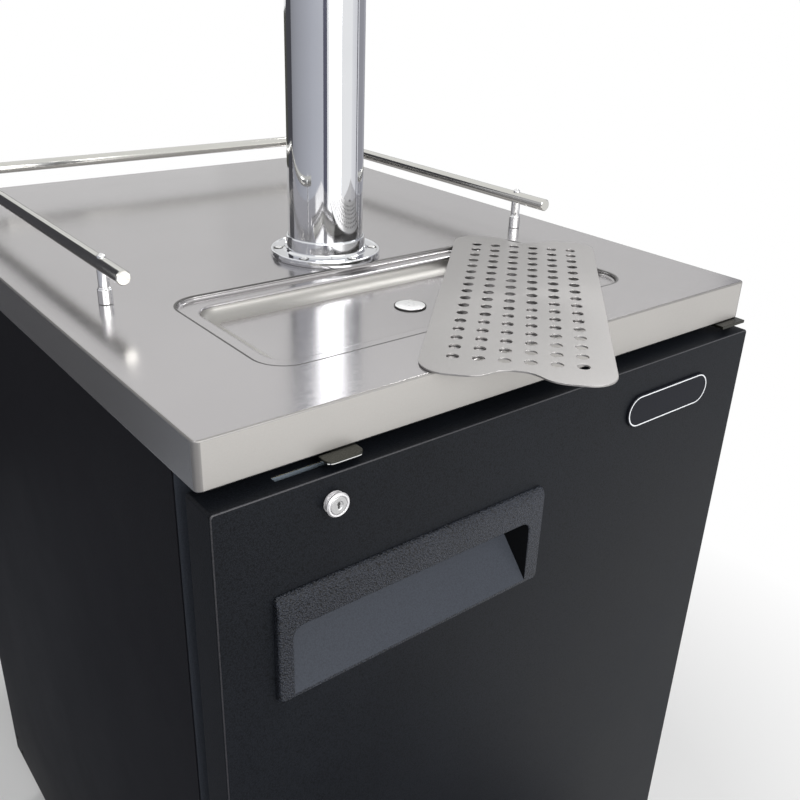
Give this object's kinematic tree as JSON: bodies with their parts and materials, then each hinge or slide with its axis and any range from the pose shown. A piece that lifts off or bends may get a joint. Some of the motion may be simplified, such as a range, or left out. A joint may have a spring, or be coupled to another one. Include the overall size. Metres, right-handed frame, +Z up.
{
  "type": "kegerator",
  "caption": "Black single-door keg cooler on casters with a stainless top, pressed drip recess, loose perforated drip grid, guard rail and one-faucet draught tower.",
  "frame": {"origin": "on the floor, under the middle of the whole part", "axes": "+Z up, door faces -Y, +X to the right seen from the front"},
  "size_m": [0.6, 0.8484, 1.4393],
  "materials": {
    "stainless": "satin",
    "polished_steel": "polished",
    "black_paint": "satin",
    "black_plastic": "matte",
    "white_plastic": "gloss",
    "foam": "matte",
    "zinc_plate": "satin",
    "rubber": "matte",
    "wheel_grey": "matte",
    "coil_aluminium": "satin"
  },
  "bodies": {
    "cabinet": {"counter_top": "stainless", "counter_core": "foam", "drain_fitting": "polished_steel", "drain_nut": "zinc_plate", "guard_rail": "stainless", "rail_post_1": "stainless", "rail_post_2": "stainless", "rail_post_3": "stainless", "rail_post_4": "stainless", "tower_gasket": "rubber", "tower_flange": "polished_steel", "tower_column": "polished_steel", "tower_cap": "polished_steel", "tower_insulation": "foam", "shank": "polished_steel", "coupling_nut": "polished_steel", "faucet_body": "polished_steel", "beer_line_tube": "stainless", "inner_liner": "white_plastic", "cabinet_foam": "foam", "right_side_panel": "black_paint", "left_side_panel": "black_paint", "front_frame": "black_plastic", "back_panel": "black_paint", "base_frame": "zinc_plate", "rear_grille": "black_paint", "kick_grille": "black_paint", "power_inlet": "black_plastic", "lock_strike": "zinc_plate", "top_hinge": "zinc_plate", "bottom_hinge": "zinc_plate", "evaporator_housing": "white_plastic", "compressor": "black_paint", "condenser": "coil_aluminium", "condenser_shroud": "black_paint"},
    "door": {"door_skin": "black_paint", "door_liner": "white_plastic", "door_foam": "foam", "door_gasket": "rubber", "badge_plate": "black_plastic", "door_handle": "black_plastic", "lock_barrel": "polished_steel"},
    "lock_core": {"lock_plug": "polished_steel", "lock_cam": "zinc_plate"},
    "faucet_handle": {"faucet_lever": "polished_steel", "tap_handle": "black_plastic"},
    "drip_grid": {"drip_grid": "stainless"},
    "evaporator_fan": {"evaporator_fan": "black_plastic"},
    "thermostat_knob": {"thermostat_knob": "black_plastic"},
    "condenser_fan": {"condenser_fan": "black_plastic"},
    "caster_front_left": {"caster_fork_front_left": "zinc_plate"},
    "wheel_front_left": {"caster_wheel_front_left": "wheel_grey"},
    "brake_front_left": {"brake_pedal_front_left": "black_plastic"},
    "caster_front_right": {"caster_fork_front_right": "zinc_plate"},
    "wheel_front_right": {"caster_wheel_front_right": "wheel_grey"},
    "brake_front_right": {"brake_pedal_front_right": "black_plastic"},
    "caster_back_left": {"caster_fork_back_left": "zinc_plate"},
    "wheel_back_left": {"caster_wheel_back_left": "wheel_grey"},
    "caster_back_right": {"caster_fork_back_right": "zinc_plate"},
    "wheel_back_right": {"caster_wheel_back_right": "wheel_grey"}
  },
  "joints": [
    {"name": "door_hinge", "type": "hinge", "parent": "cabinet", "child": "door", "pos_m": [0.287, -0.33078, 0.5765], "axis": [0, 0, 1], "range_deg": [0, 110]},
    {"name": "lock_turn", "type": "hinge", "parent": "door", "child": "lock_core", "pos_m": [-0.204, -0.34778, 0.9252], "axis": [0, 1, 0], "range_deg": [0, 90]},
    {"name": "faucet_pull", "type": "hinge", "parent": "cabinet", "child": "faucet_handle", "pos_m": [0, -0.13188, 1.333], "axis": [1, 0, 0], "range_deg": [0, 25]},
    {"name": "grid_lift", "type": "slide", "parent": "cabinet", "child": "drip_grid", "axis": [0, 0, 1], "range_m": [0, 0.15]},
    {"name": "evaporator_fan_spin", "type": "hinge", "parent": "cabinet", "child": "evaporator_fan", "pos_m": [0, 0.28692, 0.75], "axis": [0, 1, 0], "continuous": true},
    {"name": "thermostat_turn", "type": "hinge", "parent": "cabinet", "child": "thermostat_knob", "pos_m": [0.15, 0.25022, 0.64], "axis": [0, 1, 0], "range_deg": [0, 270]},
    {"name": "condenser_fan_spin", "type": "hinge", "parent": "cabinet", "child": "condenser_fan", "pos_m": [-0.135, 0.25522, 0.2148], "axis": [0, 1, 0], "continuous": true},
    {"name": "swivel_front_left", "type": "hinge", "parent": "cabinet", "child": "caster_front_left", "pos_m": [-0.245, -0.24878, 0.098], "axis": [0, 0, 1], "continuous": true},
    {"name": "roll_front_left", "type": "hinge", "parent": "caster_front_left", "child": "wheel_front_left", "pos_m": [-0.245, -0.27078, 0.03753], "axis": [1, 0, 0], "continuous": true},
    {"name": "brake_front_left", "type": "hinge", "parent": "caster_front_left", "child": "brake_front_left", "pos_m": [-0.245, -0.29878, 0.07153], "axis": [1, 0, 0], "range_deg": [0, 12]},
    {"name": "swivel_front_right", "type": "hinge", "parent": "cabinet", "child": "caster_front_right", "pos_m": [0.245, -0.24878, 0.098], "axis": [0, 0, 1], "continuous": true},
    {"name": "roll_front_right", "type": "hinge", "parent": "caster_front_right", "child": "wheel_front_right", "pos_m": [0.245, -0.27078, 0.03753], "axis": [1, 0, 0], "continuous": true},
    {"name": "brake_front_right", "type": "hinge", "parent": "caster_front_right", "child": "brake_front_right", "pos_m": [0.245, -0.29878, 0.07153], "axis": [1, 0, 0], "range_deg": [0, 12]},
    {"name": "swivel_back_left", "type": "hinge", "parent": "cabinet", "child": "caster_back_left", "pos_m": [-0.245, 0.35122, 0.098], "axis": [0, 0, 1], "continuous": true},
    {"name": "roll_back_left", "type": "hinge", "parent": "caster_back_left", "child": "wheel_back_left", "pos_m": [-0.245, 0.37322, 0.03753], "axis": [1, 0, 0], "continuous": true},
    {"name": "swivel_back_right", "type": "hinge", "parent": "cabinet", "child": "caster_back_right", "pos_m": [0.245, 0.35122, 0.098], "axis": [0, 0, 1], "continuous": true},
    {"name": "roll_back_right", "type": "hinge", "parent": "caster_back_right", "child": "wheel_back_right", "pos_m": [0.245, 0.37322, 0.03753], "axis": [1, 0, 0], "continuous": true}
  ]
}
